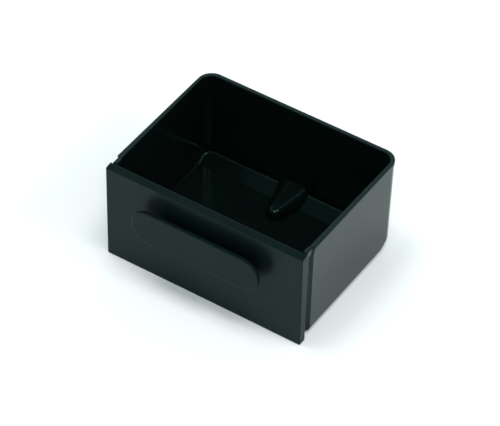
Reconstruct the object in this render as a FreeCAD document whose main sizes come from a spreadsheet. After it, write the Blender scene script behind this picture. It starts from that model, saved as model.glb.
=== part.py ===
"""Small waste drawer: a drafted plastic tub with a screwed-on front panel and finger grip.

Millimetres.  X runs along the front panel, +Y to the rear of the drawer, +Z up.  The origin is
the middle of the drawer's footprint, on the plane that the drawer stands on.
"""
import FreeCAD, Part
import math
import os

import Sketcher

doc = FreeCAD.newDocument("waste_drawer")

# --------------------------------------------------------------------------------------------
# Driving dimensions
# --------------------------------------------------------------------------------------------
SIZES = {
    # front panel: a shallow tray, open to the rear
    "panel_width": 150.0,
    "panel_height": 75.7,
    "panel_top_rise": 0.9,        # the top strip climbs this much from front to rear
    "panel_depth": 5.7,
    "panel_skin": 2.2,
    "panel_rim": 2.0,             # thickness of the tray's side, top and bottom walls
    "panel_round": 0.7,
    "shadow_gap": 0.9,            # between the panel's rear edge and the tub
    # overall reach of the drawer, measured from the panel's front face
    "grip_reach": 9.7,
    "rim_reach": 116.5,
    # tub
    "front_wall": 1.6,
    "side_wall": 2.2,             # at the rear end of the tub's sides
    "side_taper": 1.3,            # the sides are this much thicker at their front end
    "rear_wall": 2.9,
    "underside": 2.0,             # the tub hangs this far above the panel's lower edge
    "floor_skin": 2.3,
    "tub_height": 76.1,
    "front_height": 73.0,         # the front wall stops lower, hidden by the panel
    "tub_top_width": 150.0,
    "tub_base_width": 148.2,
    "tub_top_rear": 116.1,        # outer face of the rear wall, from the panel's front face
    "tub_base_rear": 113.4,
    "tub_top_corner": 10.3,
    "tub_base_corner": 8.5,
    "tub_front_corner": 4.6,
    "tub_base_round": 2.7,
    "hollow_base_round": 2.0,
    "slope_start": 100.3,         # where the floor turns up towards the rear wall
    "slope_run": 12.0,
    "slope_rise": 7.2,
    # rounded lip round the rim
    "lip_out": 0.4,
    "lip_width": 1.4,
    "lip_height": 3.0,
    "lip_start": 13.2,
    "outer_rim_round": 0.85,
    "inner_rim_round": 0.45,
    # neck: the sides step in behind the panel, below a narrower stretch of the rim
    "neck_top_width": 146.2,
    "neck_base_width": 144.4,
    "neck_depth": 4.6,            # straight part, from the tub's front face
    "neck_top": 71.8,
    "flange_width": 148.0,
    "flange_inner": 141.6,
    "flange_depth": 5.8,
    # locating groove, moulded up into the floor from below
    "groove_middle": -1.6,
    "groove_tip": 87.8,
    "groove_end": 112.0,
    "tip_radius": 6.1,
    "tip_level": 7.0,
    "end_radius": 15.0,
    "end_level": 1.0,
    "groove_skin": 1.7,
    # finger grip
    "grip_length": 97.0,
    "grip_height": 26.0,
    "grip_plate": 3.0,
    "grip_middle": 50.0,          # height of the grip's centre line
    "grip_round": 0.8,
    "web_length": 76.0,
    "web_thick": 2.6,
    "web_level": 43.0,
    "post_diameter": 7.0,
    "post_spacing": 60.0,
    # self-tapping screws
    "screw_shank": 2.9,
    "screw_head": 5.6,
    "screw_head_height": 1.9,
    "head_round": 0.7,
    "cross_width": 0.9,
    "cross_length": 3.2,
    "cross_depth": 1.1,
    "screw_clearance": 3.4,
    "screw_pilot": 3.0,
    "panel_screw_length": 6.0,
    "grip_screw_length": 7.2,
    "pilot_spare": 0.8,
    "boss_diameter": 7.5,
    "boss_column": 62.0,          # distance of the panel screws from the middle
    "boss_low": 13.0,
    "boss_high": 62.0,
}

sheet = doc.addObject("Spreadsheet::Sheet", "sizes")
for row, (alias, value) in enumerate(SIZES.items(), start=1):
    sheet.set(f"A{row}", alias)
    sheet.set(f"B{row}", str(value))
    sheet.setAlias(f"B{row}", alias)

DERIVED = {
    # where the panel's front face lies, so that the footprint is centred on the origin
    "face_y": "(grip_reach - rim_reach) / 2",
    "tub_front": "face_y + panel_depth + shadow_gap",
}
for row, (alias, formula) in enumerate(DERIVED.items(), start=len(SIZES) + 1):
    sheet.set(f"A{row}", alias)
    sheet.set(f"B{row}", "=" + formula)
    sheet.setAlias(f"B{row}", alias)
doc.recompute()

WORDS = sorted(list(SIZES) + list(DERIVED), key=len, reverse=True)


def formula(text):
    """Turn plain alias words into references to the sheet."""
    tokens = text.replace("(", " ( ").replace(")", " ) ").split()
    return " ".join("sizes." + word if word in WORDS else word for word in tokens)


def number(text):
    """Value of an expression on the sheet, in millimetres."""
    return float(sheet.evalExpression(formula(text)))


# --------------------------------------------------------------------------------------------
# Sketching helpers
# --------------------------------------------------------------------------------------------
def new_body(name):
    body = doc.addObject("PartDesign::Body", name)
    body.Label = name
    return body


def new_sketch(body, name, plane, lift="0"):
    """A sketch on one of the body's origin planes, lifted along that plane's normal."""
    sketch = body.newObject("Sketcher::SketchObject", name)
    support = [item for item in body.Origin.OriginFeatures if item.Role == plane][0]
    sketch.AttachmentSupport = (support, [""])
    sketch.MapMode = "FlatFace"
    sketch.setExpression("AttachmentOffset.Base.z", formula(lift))
    return sketch


def pin_point(sketch, line, end, across, up):
    """Fix one end of a line at a place that follows the sheet."""
    for kind, text in (("DistanceX", across), ("DistanceY", up)):
        index = sketch.addConstraint(Sketcher.Constraint(kind, -1, 1, line, end, number(text)))
        sketch.setExpression(f"Constraints[{index}]", formula(text))


def polygon(sketch, corners):
    """A closed outline of straight lines through corners given as pairs of expressions."""
    points = [FreeCAD.Vector(number(across), number(up), 0) for across, up in corners]
    count = len(points)
    for index in range(count):
        sketch.addGeometry(Part.LineSegment(points[index], points[(index + 1) % count]), False)
    for index in range(count):
        sketch.addConstraint(
            Sketcher.Constraint("Coincident", index, 2, (index + 1) % count, 1))
    for index, (across, up) in enumerate(corners):
        pin_point(sketch, index, 1, across, up)


def circle(sketch, across, up, radius):
    index = sketch.addGeometry(
        Part.Circle(FreeCAD.Vector(number(across), number(up), 0),
                    FreeCAD.Vector(0, 0, 1), number(radius)), False)
    for kind, text in (("DistanceX", across), ("DistanceY", up)):
        place = sketch.addConstraint(Sketcher.Constraint(kind, -1, 1, index, 3, number(text)))
        sketch.setExpression(f"Constraints[{place}]", formula(text))
    size = sketch.addConstraint(Sketcher.Constraint("Radius", index, number(radius)))
    sketch.setExpression(f"Constraints[{size}]", formula(radius))


def rounded_outline(sketch, half_front, half_rear, front, rear, front_radius, rear_radius):
    """Four straight sides with rounded corners, symmetrical about X.

    The half widths hold where the straight sides meet the corner arcs.
    """
    low, high = number(front), number(rear)
    near, far = number(half_front), number(half_rear)
    small, big = number(front_radius), number(rear_radius)
    corners = (
        (near, low, small, -90.0),
        (far, high, big, 0.0),
        (-far, high, big, 90.0),
        (-near, low, small, 180.0),
    )
    arcs = []
    for x, y, radius, start in corners:
        middle = FreeCAD.Vector(x - math.copysign(radius, x),
                                y - radius if y == high else y + radius, 0)
        ring = Part.Circle(middle, FreeCAD.Vector(0, 0, 1), radius)
        arcs.append(sketch.addGeometry(
            Part.ArcOfCircle(ring, math.radians(start), math.radians(start + 90)), False))
    lines = []
    for index in range(4):
        following = (index + 1) % 4
        begin = sketch.Geometry[arcs[index]].EndPoint
        finish = sketch.Geometry[arcs[following]].StartPoint
        lines.append(sketch.addGeometry(Part.LineSegment(begin, finish), False))
    for index in range(4):
        following = (index + 1) % 4
        sketch.addConstraint(Sketcher.Constraint("Tangent", arcs[index], 2, lines[index], 1))
        sketch.addConstraint(Sketcher.Constraint("Tangent", lines[index], 2, arcs[following], 1))
    for line in (lines[1], lines[3]):
        sketch.addConstraint(Sketcher.Constraint("Horizontal", line))
    bound = (
        ("DistanceX", lines[0], 1, half_front),
        ("DistanceX", lines[0], 2, half_rear),
        ("DistanceX", lines[2], 1, "0 - ( " + half_rear + " )"),
        ("DistanceX", lines[2], 2, "0 - ( " + half_front + " )"),
        ("DistanceY", lines[1], 1, rear),
        ("DistanceY", lines[3], 1, front),
    )
    for kind, line, end, text in bound:
        index = sketch.addConstraint(Sketcher.Constraint(kind, -1, 1, line, end, number(text)))
        sketch.setExpression(f"Constraints[{index}]", formula(text))
    for arc, text in zip(arcs, (front_radius, rear_radius, rear_radius, front_radius)):
        index = sketch.addConstraint(Sketcher.Constraint("Radius", arc, number(text)))
        sketch.setExpression(f"Constraints[{index}]", formula(text))


# --------------------------------------------------------------------------------------------
# Feature helpers
# --------------------------------------------------------------------------------------------
def volume_of(feature):
    doc.recompute()
    return feature.Shape.Volume


def pad(body, sketch, length, middle=False, reverse=False):
    feature = body.newObject("PartDesign::Pad", sketch.Name + "_pad")
    feature.Profile = sketch
    feature.Midplane = middle
    feature.Reversed = reverse
    feature.setExpression("Length", formula(length))
    doc.recompute()
    return feature


def pocket(body, sketch, length, middle=False, reverse=False):
    before = volume_of(body)
    feature = body.newObject("PartDesign::Pocket", sketch.Name + "_pocket")
    feature.Profile = sketch
    feature.Midplane = middle
    feature.Reversed = reverse
    feature.setExpression("Length", formula(length))
    if volume_of(body) >= before - 1e-6:
        raise RuntimeError(sketch.Name + " cuts nothing")
    return feature


def loft(body, first, second, cut=False):
    before = 0.0 if not cut else volume_of(body)
    kind = "PartDesign::SubtractiveLoft" if cut else "PartDesign::AdditiveLoft"
    feature = body.newObject(kind, first.Name + "_loft")
    feature.Profile = first
    feature.Sections = [second]
    feature.Ruled = True
    after = volume_of(body)
    if cut and after >= before - 1e-6:
        raise RuntimeError(first.Name + " cuts nothing")
    return feature


def edges_where(shape, wanted):
    """Names of the edges whose middle point passes a test."""
    names = []
    for index, edge in enumerate(shape.Edges, start=1):
        middle = edge.valueAt((edge.FirstParameter + edge.LastParameter) / 2)
        if wanted(edge, middle):
            names.append(f"Edge{index}")
    return names


def fillet(body, name, radius, wanted):
    base = body.Tip
    names = edges_where(base.Shape, wanted)
    if not names:
        raise RuntimeError(name + " finds no edge")
    feature = body.newObject("PartDesign::Fillet", name)
    feature.Base = (base, names)
    feature.setExpression("Radius", formula(radius))
    doc.recompute()
    if feature.Shape.isNull() or "Invalid" in feature.State:
        raise RuntimeError(name + " fails on " + ", ".join(names))
    return feature


# --------------------------------------------------------------------------------------------
# Tub
# --------------------------------------------------------------------------------------------
def drafted_block(name, walls, floor, top, low_round):
    """A block that widens upwards, with a sloped rear underside and rounded lower edges.

    The tub's outside uses it with no walls and the hollow inside it with the four walls.
    """
    front_side, rear_side, front_end, rear_end = walls
    body = new_body(name)
    sections = []
    for part, level, size in (("base", floor, "base"), ("crown", top, "top")):
        section = new_sketch(body, name + "_" + part, "XY_Plane", level)
        rounded_outline(section,
                        f"tub_{size}_width / 2 - {front_side}",
                        f"tub_{size}_width / 2 - {rear_side}",
                        f"tub_front + {front_end}",
                        f"face_y + tub_{size}_rear - {rear_end}",
                        f"tub_front_corner - {front_end}",
                        f"tub_{size}_corner - {rear_side}")
        sections.append(section)
    loft(body, *sections)

    # the slope is the same plane for both blocks, moved up by the thickness of the floor
    slope = new_sketch(body, name + "_slope", "YZ_Plane")
    polygon(slope, (
        ("face_y + slope_start - slope_run", f"{floor} - slope_rise"),
        ("face_y + slope_start + 2 * slope_run", f"{floor} + 2 * slope_rise"),
        ("face_y + slope_start + 2 * slope_run", f"{floor} - slope_rise"),
    ))
    pocket(body, slope, "panel_width * 1.2", middle=True)

    floor_level = number(floor)
    slope_top = floor_level + number("slope_rise") * 1.5

    def low_edge(edge, middle):
        upright = abs(edge.tangentAt(edge.FirstParameter).z) > 0.95
        return middle.z < slope_top and not upright

    fillet(body, name + "_round", low_round, low_edge)
    return body


def groove_form(body, name, skin):
    """Cut the form of the locating groove: a domed tip that widens into a channel to the rear."""
    tip = new_sketch(body, name + "_tip", "XZ_Plane", "0 - face_y - groove_tip")
    circle(tip, "groove_middle", "tip_level", f"tip_radius - {skin}")
    end = new_sketch(body, name + "_end", "XZ_Plane", "0 - face_y - groove_end - 4")
    circle(end, "groove_middle", "end_level", f"end_radius - {skin} + 1.4")
    loft(body, tip, end, cut=True)

    before = volume_of(body)
    dome = body.newObject("PartDesign::SubtractiveSphere", name + "_dome")
    dome.AttachmentSupport = (body.Origin.OriginFeatures[3], [""])
    dome.MapMode = "FlatFace"
    dome.setExpression("Radius", formula(f"tip_radius - {skin}"))
    dome.setExpression("AttachmentOffset.Base.x", formula("groove_middle"))
    dome.setExpression("AttachmentOffset.Base.y", formula("face_y + groove_tip"))
    dome.setExpression("AttachmentOffset.Base.z", formula("tip_level"))
    if volume_of(body) >= before - 1e-6:
        raise RuntimeError(name + " dome cuts nothing")


def open_groove(body):
    """Carry the groove's sides straight down, so that it is open along its whole length."""
    sections = []
    for part, reach, half, level in (
            ("tip", "groove_tip", "tip_radius - groove_skin", "tip_level"),
            ("end", "groove_end", "end_radius - groove_skin", "end_level")):
        section = new_sketch(body, "groove_sides_" + part, "XZ_Plane", f"0 - face_y - {reach}")
        polygon(section, (
            (f"groove_middle - ( {half} )", "0"), (f"groove_middle + {half}", "0"),
            (f"groove_middle + {half}", level), (f"groove_middle - ( {half} )", level)))
        sections.append(section)
    loft(body, *sections, cut=True)
    nose = new_sketch(body, "groove_nose", "XY_Plane")
    circle(nose, "groove_middle", "face_y + groove_tip", "tip_radius - groove_skin")
    pocket(body, nose, "tip_level", reverse=True)


def mirror_across(body, feature):
    """Repeat a feature on the other side of the middle."""
    mirrored = body.newObject("PartDesign::Mirrored", feature.Name + "_mirrored")
    mirrored.Originals = [feature]
    mirrored.MirrorPlane = (body.Origin.OriginFeatures[5], [""])
    before = volume_of(feature)
    body.Tip = mirrored
    if abs(volume_of(mirrored) - before) < 1e-6:
        raise RuntimeError(mirrored.Name + " changes nothing")


def neck_outline(body, name, level, half_width, straight):
    """What the neck takes away on the right side at one level: straight, then slanting out."""
    sketch = new_sketch(body, name, "XY_Plane", level)
    outer, front = "panel_width / 2 + 2", "tub_front - 1"
    bend = f"tub_front + {straight}"
    reach = f"panel_width / 2 + 2 - ( {half_width} )"
    polygon(sketch, ((half_width, front), (outer, front), (outer, f"{bend} + {reach}"),
                     (half_width, bend)))
    return sketch


def shape_neck(body):
    """Step the sides in behind the panel, and carry a narrower rim over the step."""
    flange = new_sketch(body, "neck_flange", "XY_Plane", "neck_top - 1")
    polygon(flange, (
        ("flange_inner / 2", "tub_front"), ("flange_width / 2", "tub_front"),
        ("flange_width / 2", "tub_front + flange_depth"),
        ("flange_inner / 2", "tub_front + flange_depth")))
    mirror_across(body, pad(body, flange, "tub_height - neck_top + 1"))

    low = neck_outline(body, "neck_low", "underside - 1", "neck_base_width / 2", "neck_depth")
    high = neck_outline(body, "neck_high", "neck_top", "neck_top_width / 2", "neck_depth")
    mirror_across(body, loft(body, low, high, cut=True))
    over = neck_outline(body, "flange_side", "neck_top - 0.5", "flange_width / 2",
                        "flange_depth")
    mirror_across(body, pocket(body, over, "tub_height - neck_top + 1", reverse=True))


def lower_front(body):
    """The front wall stops below the rim, so that the panel's top hides it."""
    window = new_sketch(body, "front_window", "XZ_Plane", "0 - tub_front - front_wall - 1")
    half = "flange_inner / 2"
    polygon(window, ((f"0 - {half}", "front_height"), (half, "front_height"),
                     (half, "tub_height + 1"), (f"0 - {half}", "tub_height + 1")))
    pocket(body, window, "front_wall + 2", reverse=True)


def add_lip(body):
    """A shallow lip round the outside of the rim, open at the front."""
    ring = new_sketch(body, "lip", "XY_Plane", "tub_height - lip_height")
    start = "face_y + lip_start"
    outer_x, outer_rear = "tub_top_width / 2 + lip_out", "face_y + rim_reach"
    outer_round = "tub_top_corner + lip_out"
    inner_x, inner_rear = f"{outer_x} - lip_width", f"{outer_rear} - lip_width"
    inner_round = f"{outer_round} - lip_width"
    arch_outline(ring, start, outer_x, outer_rear, outer_round, inner_x, inner_rear, inner_round)
    pad(body, ring, "lip_height")


def arch_outline(sketch, start, outer_x, outer_rear, outer_round,
                 inner_x, inner_rear, inner_round):
    """A U-shaped band whose two ends lie on the line y = start."""
    low = number(start)
    loops = []
    for half, rear, radius in ((outer_x, outer_rear, outer_round),
                               (inner_x, inner_rear, inner_round)):
        wide, high, bend = number(half), number(rear), number(radius)
        right = sketch.addGeometry(Part.LineSegment(
            FreeCAD.Vector(wide, low, 0), FreeCAD.Vector(wide, high - bend, 0)), False)
        arc_right = sketch.addGeometry(Part.ArcOfCircle(Part.Circle(
            FreeCAD.Vector(wide - bend, high - bend, 0), FreeCAD.Vector(0, 0, 1), bend),
            0, math.pi / 2), False)
        back = sketch.addGeometry(Part.LineSegment(
            FreeCAD.Vector(wide - bend, high, 0), FreeCAD.Vector(bend - wide, high, 0)), False)
        arc_left = sketch.addGeometry(Part.ArcOfCircle(Part.Circle(
            FreeCAD.Vector(bend - wide, high - bend, 0), FreeCAD.Vector(0, 0, 1), bend),
            math.pi / 2, math.pi), False)
        left = sketch.addGeometry(Part.LineSegment(
            FreeCAD.Vector(-wide, high - bend, 0), FreeCAD.Vector(-wide, low, 0)), False)
        chain = ((right, 2, arc_right, 1), (arc_right, 2, back, 1),
                 (back, 2, arc_left, 1), (arc_left, 2, left, 1))
        for first, first_end, second, second_end in chain:
            sketch.addConstraint(
                Sketcher.Constraint("Tangent", first, first_end, second, second_end))
        for kind, line in (("Vertical", right), ("Horizontal", back), ("Vertical", left)):
            sketch.addConstraint(Sketcher.Constraint(kind, line))
        bound = (
            ("DistanceX", right, 1, half), ("DistanceX", left, 2, f"0 - ( {half} )"),
            ("DistanceY", back, 1, rear), ("DistanceY", right, 1, start),
            ("DistanceY", left, 2, start))
        for kind, line, end, text in bound:
            index = sketch.addConstraint(
                Sketcher.Constraint(kind, -1, 1, line, end, number(text)))
            sketch.setExpression(f"Constraints[{index}]", formula(text))
        for arc in (arc_right, arc_left):
            index = sketch.addConstraint(Sketcher.Constraint("Radius", arc, bend))
            sketch.setExpression(f"Constraints[{index}]", formula(radius))
        loops.append((right, left, wide))
    (right_out, left_out, wide_out), (right_in, left_in, wide_in) = loops
    for first, first_end, second, second_end, side in (
            (right_out, 1, right_in, 1, 1), (left_out, 2, left_in, 2, -1)):
        bridge = sketch.addGeometry(Part.LineSegment(
            FreeCAD.Vector(side * wide_out, low, 0), FreeCAD.Vector(side * wide_in, low, 0)), False)
        sketch.addConstraint(Sketcher.Constraint("Coincident", bridge, 1, first, first_end))
        sketch.addConstraint(Sketcher.Constraint("Coincident", bridge, 2, second, second_end))


def screw_places():
    """The four panel screws, as (across, up) expressions."""
    return [(f"{side} * boss_column", level)
            for side in ("1", "( 0 - 1 )") for level in ("boss_low", "boss_high")]


def build_tub():
    tub = drafted_block("tub", ("0", "0", "0", "0"), "underside", "tub_height", "tub_base_round")
    walls = ("( side_wall + side_taper )", "side_wall", "front_wall", "rear_wall")
    hollow = drafted_block("tub_hollow", walls, "underside + floor_skin", "tub_height + 1",
                           "hollow_base_round")
    groove_form(hollow, "bump", "0")

    emptied = tub.newObject("PartDesign::Boolean", "tub_emptied")
    emptied.setObjects([hollow])
    emptied.Type = "Cut"
    doc.recompute()
    groove_form(tub, "groove", "groove_skin")
    open_groove(tub)
    add_lip(tub)
    shape_neck(tub)
    lower_front(tub)

    holes = new_sketch(tub, "screw_holes", "XZ_Plane", "0 - tub_front - front_wall - 1")
    for across, up in screw_places():
        circle(holes, across, up, "screw_clearance / 2")
    pocket(tub, holes, "front_wall + 2", reverse=True)

    def rim_edges(outer):
        top = number("tub_height")
        half = number("( tub_top_width - side_wall ) / 2")
        rear = number("face_y + tub_top_rear - rear_wall / 2")
        bend = number("tub_top_corner - side_wall / 2")

        def wanted(edge, middle):
            level = all(abs(vertex.Point.z - top) < 1e-3 for vertex in edge.Vertexes)
            across = abs(middle.x) - (half - bend)
            along = middle.y - (rear - bend)
            if across > 0 and along > 0:
                outside = math.hypot(across, along) > bend
            else:
                outside = across > bend or along > bend
            return level and outside == outer and edge.Length > 1.0
        return wanted
    fillet(tub, "outer_rim_edges", "outer_rim_round", rim_edges(True))
    fillet(tub, "inner_rim_edges", "inner_rim_round", rim_edges(False))
    return tub


# --------------------------------------------------------------------------------------------
# Front panel
# --------------------------------------------------------------------------------------------
def build_front_panel():
    panel = new_body("front_panel")
    side = new_sketch(panel, "panel_side", "YZ_Plane")
    polygon(side, (
        ("face_y", "0"),
        ("face_y", "panel_height"),
        ("face_y + panel_depth", "panel_height + panel_top_rise"),
        ("face_y + panel_depth", "0"),
    ))
    pad(panel, side, "panel_width", middle=True)

    front, rear = number("face_y"), number("face_y + panel_depth")

    def outer_edge(edge, middle):
        return middle.y < rear - 1e-3 or middle.z > number("panel_height")
    fillet(panel, "panel_edges", "panel_round", outer_edge)

    hollow = new_sketch(panel, "panel_hollow", "XZ_Plane", "0 - face_y - panel_depth")
    half, low, high = "panel_width / 2 - panel_rim", "panel_rim", "panel_height - panel_rim"
    polygon(hollow, ((f"0 - ( {half} )", low), (half, low), (half, high),
                     (f"0 - ( {half} )", high)))
    pocket(panel, hollow, "panel_depth - panel_skin", reverse=True)

    bosses = new_sketch(panel, "panel_bosses", "XZ_Plane", "0 - tub_front")
    for across, up in screw_places():
        circle(bosses, across, up, "boss_diameter / 2")
    pad(panel, bosses, "tub_front - face_y - panel_skin + 0.3")

    pilots = new_sketch(panel, "panel_pilots", "XZ_Plane", "0 - tub_front")
    for across, up in screw_places():
        circle(pilots, across, up, "screw_pilot / 2")
    pocket(panel, pilots, "panel_screw_length - front_wall + pilot_spare", reverse=True)

    through = new_sketch(panel, "grip_holes", "XZ_Plane", "0 - face_y - panel_skin - 1")
    for hand in ("1", "( 0 - 1 )"):
        circle(through, f"{hand} * post_spacing / 2", "web_level", "screw_clearance / 2")
    pocket(panel, through, "panel_skin + 2", reverse=True)
    return panel


# --------------------------------------------------------------------------------------------
# Finger grip
# --------------------------------------------------------------------------------------------
def build_grip():
    grip = new_body("finger_grip")
    plate = new_sketch(grip, "grip_plate", "XZ_Plane", "0 - face_y + grip_reach")
    radius = number("grip_height / 2")
    reach = number("grip_length / 2") - radius
    middle = number("grip_middle")
    ends = []
    for side, start in ((1, -90.0), (-1, 90.0)):
        ring = Part.Circle(FreeCAD.Vector(side * reach, middle, 0), FreeCAD.Vector(0, 0, 1), radius)
        ends.append(plate.addGeometry(
            Part.ArcOfCircle(ring, math.radians(start), math.radians(start + 180)), False))
    upper = plate.addGeometry(Part.LineSegment(
        FreeCAD.Vector(reach, middle + radius, 0), FreeCAD.Vector(-reach, middle + radius, 0)), False)
    lower = plate.addGeometry(Part.LineSegment(
        FreeCAD.Vector(-reach, middle - radius, 0), FreeCAD.Vector(reach, middle - radius, 0)), False)
    for chain in ((ends[0], 2, upper, 1), (upper, 2, ends[1], 1),
                  (ends[1], 2, lower, 1), (lower, 2, ends[0], 1)):
        plate.addConstraint(Sketcher.Constraint("Tangent", *chain))
    plate.addConstraint(Sketcher.Constraint("Horizontal", upper))
    bound = (
        ("Radius", (ends[0],), "grip_height / 2"),
        ("DistanceX", (-1, 1, ends[0], 3), "( grip_length - grip_height ) / 2"),
        ("DistanceX", (-1, 1, ends[1], 3), "0 - ( grip_length - grip_height ) / 2"),
        ("DistanceY", (-1, 1, ends[0], 3), "grip_middle"),
    )
    for kind, elements, text in bound:
        index = plate.addConstraint(Sketcher.Constraint(kind, *elements, number(text)))
        plate.setExpression(f"Constraints[{index}]", formula(text))
    pad(grip, plate, "grip_plate", reverse=True)

    def plate_edge(edge, point):
        return True
    fillet(grip, "grip_edges", "grip_round", plate_edge)

    stand = "grip_reach - grip_plate + 0.4"
    web = new_sketch(grip, "grip_web", "XZ_Plane", "0 - face_y")
    half, low, high = "web_length / 2", "web_level - web_thick / 2", "web_level + web_thick / 2"
    polygon(web, ((f"0 - {half}", low), (half, low), (half, high), (f"0 - {half}", high)))
    pad(grip, web, stand)
    posts = new_sketch(grip, "grip_posts", "XZ_Plane", "0 - face_y")
    for hand in ("1", "( 0 - 1 )"):
        circle(posts, f"{hand} * post_spacing / 2", "web_level", "post_diameter / 2")
    pad(grip, posts, stand)
    pilots = new_sketch(grip, "grip_pilots", "XZ_Plane", "0 - face_y")
    for hand in ("1", "( 0 - 1 )"):
        circle(pilots, f"{hand} * post_spacing / 2", "web_level", "screw_pilot / 2")
    pocket(grip, pilots, "grip_screw_length - panel_skin + pilot_spare", reverse=True)
    return grip


# --------------------------------------------------------------------------------------------
# Screws
# --------------------------------------------------------------------------------------------
def build_screws(name, places, seat, length):
    """A group of like pan-head screws that point forwards, their heads seated at y = seat."""
    solids = []
    for index, (across, up) in enumerate(places, start=1):
        head = doc.addObject("Part::Cylinder", f"{name}_head_{index}")
        head.setExpression("Radius", formula("screw_head / 2"))
        head.setExpression("Height", formula("screw_head_height"))
        domed = doc.addObject("Part::Fillet", f"{name}_domed_{index}")
        doc.recompute()
        round_over = number("head_round")
        crown = [place for place, edge in enumerate(head.Shape.Edges, start=1)
                 if edge.CenterOfMass.z > number("screw_head_height") - 1e-3]
        domed.Base = head
        domed.Edges = [(place, round_over, round_over) for place in crown]
        shank = doc.addObject("Part::Cylinder", f"{name}_shank_{index}")
        shank.setExpression("Radius", formula("screw_shank / 2"))
        shank.setExpression("Height", formula(f"{length} - 1"))
        shank.setExpression("Placement.Base.z", formula(f"0 - ( {length} - 1 )"))
        point = doc.addObject("Part::Cone", f"{name}_point_{index}")
        point.setExpression("Radius1", formula("screw_shank / 5"))
        point.setExpression("Radius2", formula("screw_shank / 2"))
        point.Height = 1.0
        point.setExpression("Placement.Base.z", formula(f"0 - {length}"))
        whole = doc.addObject("Part::MultiFuse", f"{name}_whole_{index}")
        whole.Shapes = [domed, shank, point]
        slots = []
        for turn in (0, 90):
            slot = doc.addObject("Part::Box", f"{name}_slot_{index}_{turn}")
            long_side, short_side = ("Length", "Width") if turn == 0 else ("Width", "Length")
            slot.setExpression(long_side, formula("cross_length"))
            slot.setExpression(short_side, formula("cross_width"))
            slot.setExpression("Height", formula("cross_depth + 1"))
            axes = ("x", "y") if turn == 0 else ("y", "x")
            slot.setExpression(f"Placement.Base.{axes[0]}", formula("0 - cross_length / 2"))
            slot.setExpression(f"Placement.Base.{axes[1]}", formula("0 - cross_width / 2"))
            slot.setExpression("Placement.Base.z", formula("screw_head_height - cross_depth"))
            slots.append(slot)
        cross = doc.addObject("Part::MultiFuse", f"{name}_cross_{index}")
        cross.Shapes = slots
        screw = doc.addObject("Part::Cut", f"{name}_{index}")
        screw.Base = whole
        screw.Tool = cross
        screw.Placement.Rotation = FreeCAD.Rotation(FreeCAD.Vector(1, 0, 0), -90)
        screw.setExpression("Placement.Base.x", formula(across))
        screw.setExpression("Placement.Base.y", formula(seat))
        screw.setExpression("Placement.Base.z", formula(up))
        solids.append(screw)
    group = doc.addObject("Part::Compound", name)
    group.Label = name
    group.Links = solids
    doc.recompute()
    return group


# --------------------------------------------------------------------------------------------
# Whole drawer
# --------------------------------------------------------------------------------------------
pieces = {
    "tub": build_tub(),
    "front_panel": build_front_panel(),
    "finger_grip": build_grip(),
    "panel_screws": build_screws("panel_screws", screw_places(), "tub_front + front_wall",
                                 "panel_screw_length"),
    "grip_screws": build_screws(
        "grip_screws",
        [(f"{hand} * post_spacing / 2", "web_level") for hand in ("1", "( 0 - 1 )")],
        "face_y + panel_skin", "grip_screw_length"),
}
doc.recompute()

for item in doc.Objects:
    if {"Invalid", "Error"} & set(item.State):
        raise RuntimeError(item.Name + " failed: " + ", ".join(item.State))
for name, piece in pieces.items():
    if piece.Shape.isNull() or not piece.Shape.isValid():
        raise RuntimeError(name + " has no valid shape")

os.makedirs("parts", exist_ok=True)
for name, piece in pieces.items():
    piece.Shape.exportStep(f"parts/{name}.step")
    box = piece.Shape.BoundBox
    print(f"{name}: {len(piece.Shape.Solids)} solid(s), {piece.Shape.Volume / 1000:.2f} cm3,"
          f" x {box.XMin:.1f}..{box.XMax:.1f}, y {box.YMin:.1f}..{box.YMax:.1f},"
          f" z {box.ZMin:.1f}..{box.ZMax:.1f}")
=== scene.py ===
"""Small waste drawer: looks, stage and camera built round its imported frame.

The file is laid out as an add-on: the sizes and colours that a user would change are properties,
each piece has an operator, and a panel lists them.  Lengths are metres.
"""

import math

import bmesh
import bpy
from bpy.props import FloatProperty, FloatVectorProperty, PointerProperty
from mathutils import Matrix, Vector


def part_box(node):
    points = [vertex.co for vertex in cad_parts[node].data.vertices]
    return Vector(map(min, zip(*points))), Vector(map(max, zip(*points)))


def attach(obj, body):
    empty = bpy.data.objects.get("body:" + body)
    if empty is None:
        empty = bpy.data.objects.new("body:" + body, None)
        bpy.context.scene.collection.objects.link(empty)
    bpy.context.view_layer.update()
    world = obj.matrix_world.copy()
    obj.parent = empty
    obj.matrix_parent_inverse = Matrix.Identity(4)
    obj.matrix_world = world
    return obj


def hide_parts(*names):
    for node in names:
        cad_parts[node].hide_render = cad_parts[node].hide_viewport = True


bl_info = {
    "name": "Waste drawer",
    "version": (1, 0, 0),
    "blender": (4, 5, 0),
    "location": "View3D > Sidebar > Drawer",
    "description": "Dresses the small waste drawer and sets its stage",
    "category": "Object",
}

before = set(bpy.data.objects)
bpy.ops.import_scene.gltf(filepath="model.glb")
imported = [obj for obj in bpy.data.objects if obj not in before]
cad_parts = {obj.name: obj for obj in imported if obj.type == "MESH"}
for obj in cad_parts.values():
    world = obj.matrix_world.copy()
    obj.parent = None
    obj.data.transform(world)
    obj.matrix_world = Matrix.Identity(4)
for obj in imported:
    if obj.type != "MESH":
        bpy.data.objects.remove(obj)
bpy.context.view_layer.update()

ROOT = "root"
MM = 0.001
PANEL_LOW = Vector(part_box("front_panel")[0])
TUB_LOW = Vector(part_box("tub")[0])

# Surface detail: how many features stand on a metre of surface.
FLOW_MARKS = 28.0
GLOSS_PATCHES = 160.0
ZINC_CLOUDS = 900.0
ZINC_WEAR = 2600.0
PAPER_CLOUDS = 6.0
TUB_GRAIN_DEPTH = 0.001 * MM
PANEL_GRAIN_DEPTH = 0.004 * MM
WEAR_DEPTH = 0.004 * MM

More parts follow.
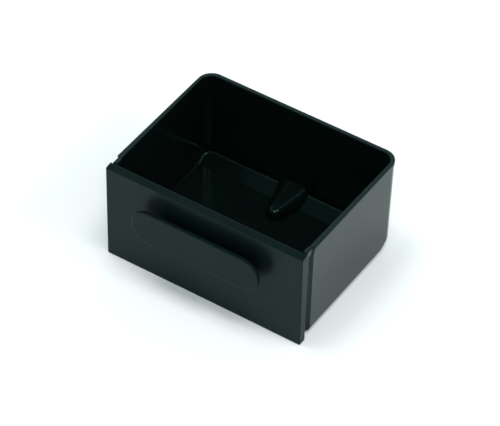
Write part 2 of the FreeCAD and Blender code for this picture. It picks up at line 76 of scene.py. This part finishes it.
# Screws, seated with the head's underside at z = 0.
CROSS_WIDTH, CROSS_LENGTH, CROSS_DEPTH = 0.9 * MM, 3.2 * MM, 1.1 * MM
CROSS_FLOOR = 0.6               # size of the recess's floor beside its mouth
ARM_STEPS, NOTCH_STEPS = 4, 8   # steps over half an arm's end, and from one arm to the next
CROWN_SAG = 0.25 * MM           # how far the crown falls from the middle to the shoulder
CROWN_SHARES = (0.0, 0.25, 0.5, 0.75, 1.0)
SHOULDER = 0.7 * MM             # radius of the head's shoulder
SHOULDER_TURNS = (30, 60, 90)
HEAD_EDGE = 0.12 * MM           # bevel under the head's edge
THREAD_DEPTH = 0.35 * MM
ROWS_A_TURN = 10
POINT_LENGTH, POINT_SHARE = 1.2 * MM, 0.25
CREASE = math.radians(35)

# Stage.
TENT_SIDES, TENT_TOP = 1.00, 0.14
TENT_FADE = (0.74, 0.84)        # heights on the unit sphere where the tent begins and ends to dim
TENT_COLOUR = (0.86, 1.0, 1.0, 1.0)
BOX_SPREAD, BOX_BACK, BOX_HEIGHT, BOX_SIDE = 0.35, -0.10, 1.60, 0.45
LAMP_TURN, LAMP_LIFT = math.radians(58), math.radians(48)
LAMP_DISTANCE, LAMP_SIDE, LAMP_POWER = 1.60, 0.20, 3.6

# Camera: its direction from the drawer, its lens, and small steps across and up its view.
AZIMUTH = math.radians(32.80)
ELEVATION = math.radians(43.83)
ROLL = math.radians(1.146)
LENS, SENSOR = 208.64, 36.0
FAR_CLIP = 50.0
SIDE_STEP = -2.821 * MM
RISE_STEP = -8.109 * MM
AIM = Vector((0.0, PANEL_LOW.y + 60 * MM, 40 * MM))


# --------------------------------------------------------------------------------------------
# Properties
# --------------------------------------------------------------------------------------------
class DrawerColours(bpy.types.PropertyGroup):
    """Colours of the drawer's plastics, of its screws and of the floor."""
    tub: FloatVectorProperty(
        name="Tub", description="Polished black plastic of the tub",
        subtype="COLOR", size=3, min=0, max=1, default=(0.0013, 0.0036, 0.0030))
    panel: FloatVectorProperty(
        name="Front panel", description="Satin black plastic of the front panel",
        subtype="COLOR", size=3, min=0, max=1, default=(0.0025, 0.0065, 0.0065))
    grip: FloatVectorProperty(
        name="Grip", description="Satin black plastic of the finger grip",
        subtype="COLOR", size=3, min=0, max=1, default=(0.0025, 0.0065, 0.0065))
    zinc: FloatVectorProperty(
        name="Zinc", description="Zinc plating of the screws",
        subtype="COLOR", size=3, min=0, max=1, default=(0.52, 0.53, 0.54))
    floor: FloatVectorProperty(
        name="Floor", description="Pale floor under the drawer",
        subtype="COLOR", size=3, min=0, max=1, default=(0.90, 0.90, 0.90))


class DrawerSizes(bpy.types.PropertyGroup):
    """Sizes of the screws, of the surface detail and of the stage."""
    head_width: FloatProperty(
        name="Screw head", description="Width of a screw's pan head",
        subtype="DISTANCE", unit="LENGTH", min=0.003, max=0.0056, default=0.0056)
    head_height: FloatProperty(
        name="Head height", description="Height of a screw's pan head",
        subtype="DISTANCE", unit="LENGTH", min=0.001, max=0.0019, default=0.0019)
    shank_width: FloatProperty(
        name="Screw shank", description="Width across a screw's thread",
        subtype="DISTANCE", unit="LENGTH", min=0.002, max=0.0029, default=0.0029)
    pitch: FloatProperty(
        name="Thread pitch", description="Distance between a screw's threads",
        subtype="DISTANCE", unit="LENGTH", min=0.0008, max=0.002, default=0.0012)
    grain: FloatProperty(
        name="Grain", description="Width of one speck of the moulded grain",
        subtype="DISTANCE", unit="LENGTH", min=0.0001, max=0.005, default=0.0005)
    floor_width: FloatProperty(
        name="Floor width", description="Side of the square floor",
        subtype="DISTANCE", unit="LENGTH", min=1, max=20, default=8)
    box_power: FloatProperty(
        name="Box power", description="Power of each soft box in watts",
        subtype="POWER", unit="POWER", min=0, max=500, default=6.5)
    camera_distance: FloatProperty(
        name="Camera distance", description="From the camera to the drawer's middle",
        subtype="DISTANCE", unit="LENGTH", min=0.5, max=10, default=1.88273)


# --------------------------------------------------------------------------------------------
# Node helpers
# --------------------------------------------------------------------------------------------
def new_material(name):
    """An empty material with one shader; gives back the material, its tree and the shader."""
    material = bpy.data.materials.new(name)
    material.use_nodes = True
    tree = material.node_tree
    tree.nodes.clear()
    output = tree.nodes.new("ShaderNodeOutputMaterial")
    shader = tree.nodes.new("ShaderNodeBsdfPrincipled")
    tree.links.new(shader.outputs["BSDF"], output.inputs["Surface"])
    return material, tree, shader


def noise(tree, place, scale, detail=2.0, roughness=0.5):
    """A cloudy pattern with this many features a metre."""
    node = tree.nodes.new("ShaderNodeTexNoise")
    node.inputs["Scale"].default_value = scale
    node.inputs["Detail"].default_value = detail
    node.inputs["Roughness"].default_value = roughness
    tree.links.new(place, node.inputs["Vector"])
    return node.outputs["Fac"]


def ranged(tree, value, low, high, start=0.0, end=1.0):
    """Spread the value's range from start to end over low to high."""
    node = tree.nodes.new("ShaderNodeMapRange")
    node.inputs["From Min"].default_value = start
    node.inputs["From Max"].default_value = end
    node.inputs["To Min"].default_value = low
    node.inputs["To Max"].default_value = high
    tree.links.new(value, node.inputs["Value"])
    return node.outputs["Result"]


def mixed_colour(tree, factor, first, second):
    """Blend two colours; the node's sockets 6, 7 and 2 are those of its colour mode."""
    node = tree.nodes.new("ShaderNodeMix")
    node.data_type = "RGBA"
    tree.links.new(factor, node.inputs["Factor"])
    for socket, value in ((node.inputs[6], first), (node.inputs[7], second)):
        socket.default_value = (*value, 1.0)
    return node.outputs[2]


def add_bump(tree, shader, height, depth):
    """Raise the height pattern on the shader's surface."""
    bump = tree.nodes.new("ShaderNodeBump")
    bump.inputs["Strength"].default_value = 1.0
    bump.inputs["Distance"].default_value = depth
    tree.links.new(height, bump.inputs["Height"])
    tree.links.new(bump.outputs["Normal"], shader.inputs["Normal"])


def moulded_plastic(name, colour, shine, red_shine, roughness, spread, grain_width,
                    grain_depth):
    """Black injection-moulded plastic: faint flow marks, uneven gloss and a fine grain."""
    material, tree, shader = new_material(name)
    place = tree.nodes.new("ShaderNodeTexCoord").outputs["Object"]
    flow = noise(tree, place, FLOW_MARKS, detail=3.0, roughness=0.55)
    tone = mixed_colour(tree, ranged(tree, flow, 0.0, 1.0, 0.3, 0.7),
                        [part * 0.86 for part in colour], [part * 1.16 for part in colour])
    tree.links.new(tone, shader.inputs["Base Color"])
    gloss = noise(tree, place, GLOSS_PATCHES, detail=4.0, roughness=0.6)
    tree.links.new(ranged(tree, gloss, roughness - spread, roughness + spread, 0.25, 0.75),
                   shader.inputs["Roughness"])
    add_bump(tree, shader, noise(tree, place, 1.0 / grain_width), grain_depth)
    shader.inputs["Specular IOR Level"].default_value = shine
    shader.inputs["Specular Tint"].default_value = (red_shine, 1.0, 1.0, 1.0)
    return material


def plated_steel(name, colour):
    """Zinc-plated steel: cloudy tone, uneven gloss and fine wear."""
    material, tree, shader = new_material(name)
    place = tree.nodes.new("ShaderNodeTexCoord").outputs["Object"]
    cloud = noise(tree, place, ZINC_CLOUDS, detail=4.0, roughness=0.6)
    tone = mixed_colour(tree, ranged(tree, cloud, 0.0, 1.0, 0.3, 0.7),
                        [part * 0.80 for part in colour], colour)
    tree.links.new(tone, shader.inputs["Base Color"])
    wear = noise(tree, place, ZINC_WEAR, detail=3.0, roughness=0.7)
    tree.links.new(ranged(tree, wear, 0.24, 0.42, 0.3, 0.7), shader.inputs["Roughness"])
    add_bump(tree, shader, wear, WEAR_DEPTH)
    shader.inputs["Metallic"].default_value = 1.0
    return material


def dress(node_name, material):
    """Give a CAD node its finish."""
    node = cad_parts[node_name]
    node.data.materials.clear()
    node.data.materials.append(material)


# --------------------------------------------------------------------------------------------
# Screws
# --------------------------------------------------------------------------------------------
def recess_outline():
    """Mouth of the cross recess as (angle, distance) pairs that run once round the head."""
    corner = math.atan2(CROSS_WIDTH, CROSS_LENGTH)
    notch = math.pi / 2 - 2 * corner
    outline = []
    for quarter in range(4):
        for part in range(-ARM_STEPS, ARM_STEPS + 1):
            angle = corner * part / ARM_STEPS
            outline.append((angle + quarter * math.pi / 2, CROSS_LENGTH / 2 / math.cos(angle)))
        for part in range(1, NOTCH_STEPS):
            angle = corner + notch * part / NOTCH_STEPS
            reach = CROSS_WIDTH / 2 / min(math.sin(angle), math.cos(angle))
            outline.append((angle + quarter * math.pi / 2, reach))
    return outline


def screw_rings(outline, radius, height, shank, pitch, length):
    """Rings of (distance, level) pairs, from the recess's floor to the screw's point."""
    crown = radius - SHOULDER
    around = len(outline)
    rings = [[(reach * CROSS_FLOOR, height - CROSS_DEPTH) for angle, reach in outline]]
    for share in CROWN_SHARES:
        distances = [reach + (crown - reach) * share for angle, reach in outline]
        rings.append([(distance, height - CROWN_SAG * (distance / crown) ** 2)
                      for distance in distances])
    for turn in SHOULDER_TURNS:
        angle = math.radians(turn)
        drop = CROWN_SAG + SHOULDER * (1 - math.cos(angle))
        rings.append([(crown + SHOULDER * math.sin(angle), height - drop)] * around)
    rings.append([(radius, HEAD_EDGE)] * around)
    rings.append([(radius - HEAD_EDGE, 0.0)] * around)
    rings.append([(shank - THREAD_DEPTH, 0.0)] * around)
    rows = round(length / pitch * ROWS_A_TURN)
    for row in range(1, rows):
        level = -length * row / rows
        share = min(1.0, (length + level) / POINT_LENGTH)
        taper = POINT_SHARE + (1 - POINT_SHARE) * share
        ring = []
        for angle, reach in outline:
            phase = level / pitch * 2 * math.pi - angle
            crest = (0.5 + 0.5 * math.cos(phase)) ** 2
            ring.append(((shank - THREAD_DEPTH * (1 - crest)) * taper, level))
        rings.append(ring)
    return rings


def screw_mesh(name, radius, height, shank, pitch, length):
    """One screw whose head is seated at z = 0 and whose shank points down."""
    outline = recess_outline()
    shape = bmesh.new()
    loops = []
    for ring in screw_rings(outline, radius, height, shank, pitch, length):
        loops.append([shape.verts.new((math.cos(angle) * distance, math.sin(angle) * distance,
                                       level))
                      for (angle, reach), (distance, level) in zip(outline, ring)])
    floor = shape.verts.new((0.0, 0.0, height - CROSS_DEPTH))
    tip = shape.verts.new((0.0, 0.0, -length))
    for place in range(len(outline)):
        after = (place + 1) % len(outline)
        shape.faces.new((floor, loops[0][place], loops[0][after]))
        for inner, outer in zip(loops, loops[1:]):
            shape.faces.new((inner[place], outer[place], outer[after], inner[after]))
        shape.faces.new((loops[-1][place], tip, loops[-1][after]))
    for face in shape.faces:
        face.smooth = True
    mesh = bpy.data.meshes.new(name)
    shape.to_mesh(mesh)
    shape.free()
    mesh.set_sharp_from_angle(angle=CREASE)
    return mesh


def screw_tree():
    """Node tree that seats a screw on every point, turned about its own axis by chance.

    It returns the tree and the identifier of each named input.
    """
    tree = bpy.data.node_groups.new("seated_screws", "GeometryNodeTree")
    inputs = {}
    for name, kind in (("Places", "NodeSocketGeometry"), ("Screw", "NodeSocketObject"),
                       ("Finish", "NodeSocketMaterial"), ("Lean", "NodeSocketFloat"),
                       ("Most turn", "NodeSocketFloat"), ("Seed", "NodeSocketInt")):
        socket = tree.interface.new_socket(name, in_out="INPUT", socket_type=kind)
        inputs[name] = socket.identifier
    tree.interface.new_socket("Screws", in_out="OUTPUT", socket_type="NodeSocketGeometry")
    given = tree.nodes.new("NodeGroupInput").outputs
    template = tree.nodes.new("GeometryNodeObjectInfo")
    seats = tree.nodes.new("GeometryNodeInstanceOnPoints")
    lean = tree.nodes.new("ShaderNodeCombineXYZ")
    chance = tree.nodes.new("FunctionNodeRandomValue")
    turn = tree.nodes.new("ShaderNodeCombineXYZ")
    turned = tree.nodes.new("GeometryNodeRotateInstances")
    solid = tree.nodes.new("GeometryNodeRealizeInstances")
    finished = tree.nodes.new("GeometryNodeSetMaterial")
    result = tree.nodes.new("NodeGroupOutput")
    chance.data_type = "FLOAT"
    most, drawn = chance.inputs[3], chance.outputs[1]
    for source, target in (
            (given["Places"], seats.inputs["Points"]),
            (given["Screw"], template.inputs["Object"]),
            (template.outputs["Geometry"], seats.inputs["Instance"]),
            (given["Lean"], lean.inputs["X"]),
            (lean.outputs["Vector"], seats.inputs["Rotation"]),
            (given["Seed"], chance.inputs["Seed"]),
            (given["Most turn"], most),
            (drawn, turn.inputs["Z"]),
            (seats.outputs["Instances"], turned.inputs["Instances"]),
            (turn.outputs["Vector"], turned.inputs["Rotation"]),
            (turned.outputs["Instances"], solid.inputs["Geometry"]),
            (solid.outputs["Geometry"], finished.inputs["Geometry"]),
            (given["Finish"], finished.inputs["Material"]),
            (finished.outputs["Geometry"], result.inputs["Screws"])):
        tree.links.new(source, target)
    return tree, inputs


def seat_screws(node_name, sizes, finish, seed):
    """Stand a set of screws in for a CAD node: their heads fill its box's corners."""
    low, high = (Vector(corner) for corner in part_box(node_name))
    radius = sizes.head_width / 2
    seat = high.y - sizes.head_height
    levels = {round(low.z + radius, 6), round(high.z - radius, 6)}
    places = [(across, seat, level) for across in (low.x + radius, high.x - radius)
              for level in sorted(levels)]
    template = bpy.data.objects.new(f"{node_name}_one", screw_mesh(
        f"{node_name}_one", radius, sizes.head_height, sizes.shank_width / 2, sizes.pitch,
        seat - low.y))
    bpy.context.scene.collection.objects.link(template)
    points = bpy.data.meshes.new(f"{node_name}_places")
    points.from_pydata(places, [], [])
    piece = bpy.data.objects.new(f"{node_name}_threaded", points)
    bpy.context.scene.collection.objects.link(piece)
    tree, inputs = screw_tree()
    row = piece.modifiers.new("seated_screws", "NODES")
    row.node_group = tree
    for name, value in (("Screw", template), ("Finish", finish), ("Lean", math.radians(-90)),
                        ("Most turn", math.radians(90)), ("Seed", seed)):
        row[inputs[name]] = value
    depsgraph = bpy.context.evaluated_depsgraph_get()
    solid = bpy.data.meshes.new_from_object(piece.evaluated_get(depsgraph))
    piece.modifiers.clear()
    piece.data = solid
    bpy.data.objects.remove(template)
    if len(solid.polygons) == 0:
        raise RuntimeError(f"{node_name}: no screws were made")
    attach(piece, ROOT)
    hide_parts(node_name)


# --------------------------------------------------------------------------------------------
# Operators
# --------------------------------------------------------------------------------------------
class DRAWER_OT_tub(bpy.types.Operator):
    """Finish the tub in polished black plastic"""
    bl_idname = "drawer.tub"
    bl_label = "Tub"

    def execute(self, context):
        colours, sizes = context.scene.drawer_colours, context.scene.drawer_sizes
        dress("tub", moulded_plastic(
            "tub_plastic", colours.tub, shine=0.25, red_shine=0.5, roughness=0.17, spread=0.03,
            grain_width=sizes.grain, grain_depth=TUB_GRAIN_DEPTH))
        return {"FINISHED"}


class DRAWER_OT_front_panel(bpy.types.Operator):
    """Finish the front panel in satin black plastic"""
    bl_idname = "drawer.front_panel"
    bl_label = "Front panel"

    def execute(self, context):
        colours, sizes = context.scene.drawer_colours, context.scene.drawer_sizes
        dress("front_panel", moulded_plastic(
            "panel_plastic", colours.panel, shine=0.13, red_shine=0.6, roughness=0.34,
            spread=0.04, grain_width=sizes.grain, grain_depth=PANEL_GRAIN_DEPTH))
        return {"FINISHED"}


class DRAWER_OT_grip(bpy.types.Operator):
    """Finish the finger grip in satin black plastic"""
    bl_idname = "drawer.grip"
    bl_label = "Finger grip"

    def execute(self, context):
        colours, sizes = context.scene.drawer_colours, context.scene.drawer_sizes
        dress("finger_grip", moulded_plastic(
            "grip_plastic", colours.grip, shine=0.11, red_shine=0.6, roughness=0.34,
            spread=0.04, grain_width=sizes.grain, grain_depth=PANEL_GRAIN_DEPTH))
        return {"FINISHED"}


class DRAWER_OT_screws(bpy.types.Operator):
    """Make the panel's and the grip's screws"""
    bl_idname = "drawer.screws"
    bl_label = "Screws"

    def execute(self, context):
        colours, sizes = context.scene.drawer_colours, context.scene.drawer_sizes
        zinc = plated_steel("screw_steel", colours.zinc)
        seat_screws("panel_screws", sizes, zinc, seed=3)
        seat_screws("grip_screws", sizes, zinc, seed=8)
        return {"FINISHED"}


class DRAWER_OT_stage(bpy.types.Operator):
    """Lay the floor, hang the lights and set the camera"""
    bl_idname = "drawer.stage"
    bl_label = "Stage"

    def execute(self, context):
        colours, sizes = context.scene.drawer_colours, context.scene.drawer_sizes
        lay_floor(sizes.floor_width, colours.floor)
        context.scene.view_settings.view_transform = "Standard"
        hang_lights(context.scene, sizes.box_power)
        place_camera(context.scene, sizes.camera_distance)
        return {"FINISHED"}


# --------------------------------------------------------------------------------------------
# Stage
# --------------------------------------------------------------------------------------------
def lay_floor(width, colour):
    """A wide pale sheet of paper under the drawer."""
    mesh = bpy.data.meshes.new("floor")
    shape = bmesh.new()
    bmesh.ops.create_grid(shape, x_segments=1, y_segments=1, size=width / 2)
    shape.to_mesh(mesh)
    shape.free()
    floor = bpy.data.objects.new("floor", mesh)
    bpy.context.scene.collection.objects.link(floor)
    material, tree, shader = new_material("floor_paper")
    place = tree.nodes.new("ShaderNodeTexCoord").outputs["Object"]
    tone = mixed_colour(tree, noise(tree, place, PAPER_CLOUDS),
                        [part * 0.99 for part in colour], colour)
    tree.links.new(tone, shader.inputs["Base Color"])
    shader.inputs["Roughness"].default_value = 0.9
    shader.inputs["Specular IOR Level"].default_value = 0.2
    mesh.materials.append(material)


def area_light(name, place, aim, side, power):
    """A square lamp that faces the aim."""
    data = bpy.data.lights.new(name, "AREA")
    data.size = side
    data.energy = power
    lamp = bpy.data.objects.new(name, data)
    lamp.location = place
    lamp.rotation_euler = (aim - place).to_track_quat("-Z", "Y").to_euler()
    bpy.context.scene.collection.objects.link(lamp)
    return lamp


def hang_lights(scene, box_power):
    """A pale tent that is dimmer overhead, two soft boxes above and two small lamps.

    The boxes light the floor and stay out of the polished plastic, which mirrors the lamps.
    """
    world = bpy.data.worlds.new("studio")
    world.use_nodes = True
    tree = world.node_tree
    sky = tree.nodes["Background"]
    split = tree.nodes.new("ShaderNodeSeparateXYZ")
    tree.links.new(tree.nodes.new("ShaderNodeTexCoord").outputs["Generated"],
                   split.inputs["Vector"])
    tone = ranged(tree, split.outputs["Z"], TENT_SIDES, TENT_TOP, *TENT_FADE)
    tree.links.new(tone, sky.inputs["Strength"])
    sky.inputs["Color"].default_value = TENT_COLOUR
    scene.world = world
    middle = Vector((0.0, 0.0, TUB_LOW.z))
    for name, side in (("left_box", -1), ("right_box", 1)):
        place = Vector((side * BOX_SPREAD, BOX_BACK, BOX_HEIGHT))
        box = area_light(name, place, middle, BOX_SIDE, box_power)
        box.visible_glossy = False
    for name, turn in (("front_lamp", AZIMUTH), ("side_lamp", AZIMUTH + LAMP_TURN)):
        reach = LAMP_DISTANCE * math.cos(LAMP_LIFT)
        place = Vector((reach * math.sin(turn), -reach * math.cos(turn),
                        LAMP_DISTANCE * math.sin(LAMP_LIFT)))
        area_light(name, place, middle, LAMP_SIDE, LAMP_POWER)


def place_camera(scene, distance):
    """Aim a long lens at the drawer's middle, rolled and stepped aside a little."""
    back = Vector((math.sin(AZIMUTH) * math.cos(ELEVATION),
                   -math.cos(AZIMUTH) * math.cos(ELEVATION), math.sin(ELEVATION)))
    level = (-back).cross(Vector((0, 0, 1))).normalized()
    upright = level.cross(-back)
    right = level * math.cos(ROLL) + upright * math.sin(ROLL)
    up = upright * math.cos(ROLL) - level * math.sin(ROLL)
    data = bpy.data.cameras.new("camera")
    data.lens = LENS
    data.sensor_width = SENSOR
    data.clip_end = FAR_CLIP
    camera = bpy.data.objects.new("camera", data)
    turn = Matrix((right, up, back)).transposed().to_4x4()
    place = AIM + back * distance + right * SIDE_STEP + up * RISE_STEP
    camera.matrix_world = Matrix.Translation(place) @ turn
    scene.collection.objects.link(camera)
    scene.camera = camera


# --------------------------------------------------------------------------------------------
# Sidebar and registration
# --------------------------------------------------------------------------------------------
OPERATORS = (DRAWER_OT_tub, DRAWER_OT_front_panel, DRAWER_OT_grip, DRAWER_OT_screws,
             DRAWER_OT_stage)


class DRAWER_PT_panel(bpy.types.Panel):
    """Sidebar panel for the waste drawer"""
    bl_label = "Waste drawer"
    bl_idname = "DRAWER_PT_panel"
    bl_space_type = "VIEW_3D"
    bl_region_type = "UI"
    bl_category = "Drawer"

    def draw(self, context):
        for group in (context.scene.drawer_colours, context.scene.drawer_sizes):
            for name in group.__annotations__:
                self.layout.prop(group, name)
        for operator in OPERATORS:
            self.layout.operator(operator.bl_idname)


CLASSES = (DrawerColours, DrawerSizes, *OPERATORS, DRAWER_PT_panel)


def register():
    for cls in CLASSES:
        bpy.utils.register_class(cls)
    bpy.types.Scene.drawer_colours = PointerProperty(type=DrawerColours)
    bpy.types.Scene.drawer_sizes = PointerProperty(type=DrawerSizes)


def unregister():
    del bpy.types.Scene.drawer_sizes
    del bpy.types.Scene.drawer_colours
    for cls in reversed(CLASSES):
        bpy.utils.unregister_class(cls)


def main():
    register()
    bpy.ops.drawer.tub()
    bpy.ops.drawer.front_panel()
    bpy.ops.drawer.grip()
    bpy.ops.drawer.screws()
    bpy.ops.drawer.stage()


if __name__ == "__main__":
    main()
